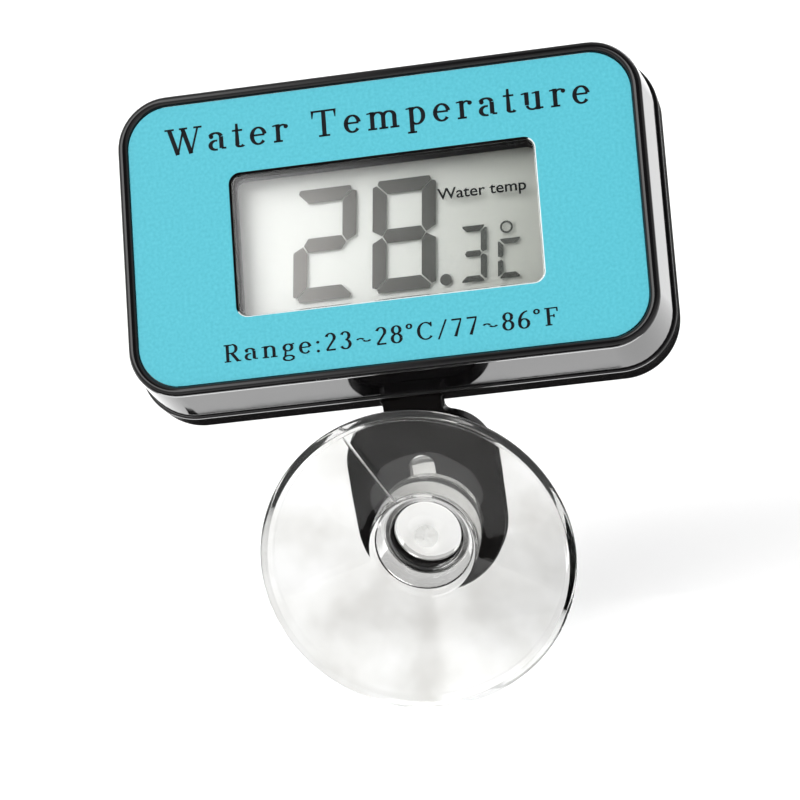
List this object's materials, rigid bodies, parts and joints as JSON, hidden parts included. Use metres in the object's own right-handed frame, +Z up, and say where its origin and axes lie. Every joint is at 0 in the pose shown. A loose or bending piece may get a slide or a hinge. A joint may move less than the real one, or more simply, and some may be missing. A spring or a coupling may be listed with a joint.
{
  "type": "digital aquarium thermometer",
  "caption": "Submersible digital thermometer: rounded black case with a printed face and display window, screw-in battery cap behind, and a clear suction cup on a tab below.",
  "frame": {"origin": "centre of the suction cup's rim, in the plane where the rim seals on the tank's glass", "axes": "+Z up in use, -Y out of the rim into the glass, +X to the right as the display is read; the case leans back 30 degrees over the cup"},
  "size_m": [0.0614, 0.0367, 0.0679],
  "materials": {
    "gloss_black_abs": "polished",
    "cap_black_abs": "fine spark texture",
    "printed_face": "semi-gloss print on polycarbonate film",
    "clear_acrylic": "polished",
    "polariser_film": "anti-glare",
    "display_glass": "polished",
    "display_segments": "matt",
    "reflector_film": "satin silver",
    "white_plastic": "moulded",
    "connector_rubber": "striped silicone",
    "board_laminate": "solder mask",
    "black_resin": "cured drop",
    "crystal_can": "drawn can",
    "chip_ceramic": "fired ceramic",
    "thermistor_epoxy": "dipped epoxy",
    "tinned_wire": "tinned",
    "screw_steel": "zinc plated",
    "seal_rubber": "matt",
    "contact_metal": "nickel plated",
    "wire_jacket": "extruded",
    "cell_steel": "nickel plated",
    "clear_pvc": "clear, soft"
  },
  "bodies": {
    "case": {"front_shell": "gloss_black_abs", "face_label": "printed_face", "window_pane": "clear_acrylic", "lcd_polariser": "polariser_film", "lcd_front_glass": "display_glass", "lcd_segments": "display_segments", "lcd_rear_glass": "display_glass", "lcd_reflector": "reflector_film", "lcd_holder": "white_plastic", "connector_strips": "connector_rubber", "circuit_board": "board_laminate", "controller_resin": "black_resin", "clock_crystal": "crystal_can", "chip_components": "chip_ceramic", "thermistor": "thermistor_epoxy", "thermistor_legs": "tinned_wire", "board_screws": "screw_steel", "case_gasket": "seal_rubber", "back_cover": "gloss_black_abs", "positive_contact": "contact_metal", "negative_contact": "contact_metal", "contact_wires": "wire_jacket", "battery_cell_left": "cell_steel", "battery_cell_right": "cell_steel"},
    "cap_seal": {"cap_o_ring": "seal_rubber"},
    "battery_cap": {"battery_cap": "cap_black_abs", "bridge_contact": "contact_metal"},
    "suction_cup": {"suction_cup": "clear_pvc"}
  },
  "joints": [
    {"name": "cap_lift", "type": "slide", "parent": "case", "child": "cap_seal", "axis": [0, 0.866, -0.5], "range_m": [0, 0.003]},
    {"name": "cap_turn", "type": "hinge", "parent": "cap_seal", "child": "battery_cap", "pos_m": [0, 0.02823, 0.02689], "axis": [0, 0.866, -0.5], "range_deg": [0, 720]},
    {"name": "cup_spin", "type": "hinge", "parent": "case", "child": "suction_cup", "pos_m": [0, 0.0135, 0], "axis": [0, 1, 0], "continuous": true}
  ],
  "couplings": [
    {"joint": "cap_lift", "follows": "cap_turn", "m_per_rad": 0.00023873}
  ]
}
